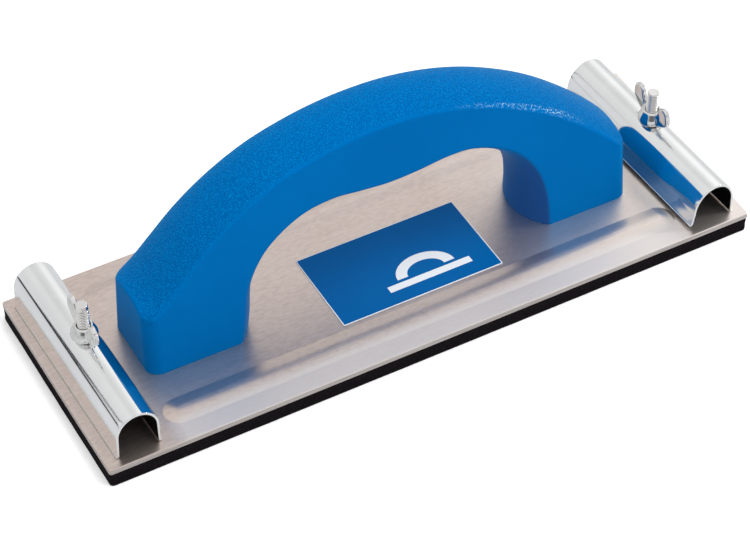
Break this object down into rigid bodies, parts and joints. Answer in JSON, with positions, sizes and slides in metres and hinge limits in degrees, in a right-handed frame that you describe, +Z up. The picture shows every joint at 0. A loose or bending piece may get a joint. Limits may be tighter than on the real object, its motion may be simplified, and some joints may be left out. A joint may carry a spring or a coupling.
{
  "type": "hand sander",
  "caption": "Hand sander: aluminium plate on a foam pad, moulded bow handle, and a sprung clamp bar with a wing nut at each end that grips the abrasive sheet.",
  "frame": {"origin": "centre of the backing pad's underside, on the surface the tool stands on", "axes": "+X along the plate towards the end with the shorter stud, +Y across the plate, +Z up through the handle"},
  "size_m": [0.23, 0.08, 0.0763],
  "materials": {
    "plate_aluminium": "mill finish with fine lengthwise brushing",
    "pad_foam": "matt closed-cell foam",
    "label_print": "printed film, satin",
    "handle_plastic": "satin sides, fine leather grain on the crowned top",
    "screw_steel": "zinc plated",
    "zinc_steel": "bright zinc plated",
    "spring_steel": "drawn wire",
    "bright_plated_steel": "bright plated, softly mirrored",
    "wing_nut_plating": "bright plated casting"
  },
  "bodies": {
    "base": {"base_plate": "plate_aluminium", "backing_pad": "pad_foam", "label": "label_print", "handle": "handle_plastic", "handle_screw_left_outer": "screw_steel", "handle_screw_left_inner": "screw_steel", "handle_screw_right_inner": "screw_steel", "handle_screw_right_outer": "screw_steel", "clamp_stud_left": "zinc_steel", "clamp_stud_right": "zinc_steel", "stud_nut_left": "zinc_steel", "stud_nut_right": "zinc_steel", "clamp_spring_left": "spring_steel", "clamp_spring_right": "spring_steel"},
    "clamp_left": {"clamp_bar_left": "bright_plated_steel"},
    "wing_left": {"wing_nut_left": "wing_nut_plating"},
    "clamp_right": {"clamp_bar_right": "bright_plated_steel"},
    "wing_right": {"wing_nut_right": "wing_nut_plating"}
  },
  "joints": [
    {"name": "clamp_left_lift", "type": "slide", "parent": "base", "child": "clamp_left", "axis": [0, 0, 1], "range_m": [0, 0.0049], "deforming": ["clamp_spring_left"]},
    {"name": "wing_nut_left_spin", "type": "hinge", "parent": "clamp_left", "child": "wing_left", "pos_m": [-0.1035, 0, 0.023], "axis": [0, 0, 1], "range_deg": [0, 2520]},
    {"name": "clamp_right_lift", "type": "slide", "parent": "base", "child": "clamp_right", "axis": [0, 0, 1], "range_m": [0, 0.0049], "deforming": ["clamp_spring_right"]},
    {"name": "wing_nut_right_spin", "type": "hinge", "parent": "clamp_right", "child": "wing_right", "pos_m": [0.1015, 0, 0.023], "axis": [0, 0, 1], "range_deg": [0, 2520]}
  ],
  "couplings": [
    {"joint": "wing_nut_left_spin", "follows": "clamp_left_lift", "rad_per_m": 8975},
    {"joint": "wing_nut_right_spin", "follows": "clamp_right_lift", "rad_per_m": 8975}
  ]
}
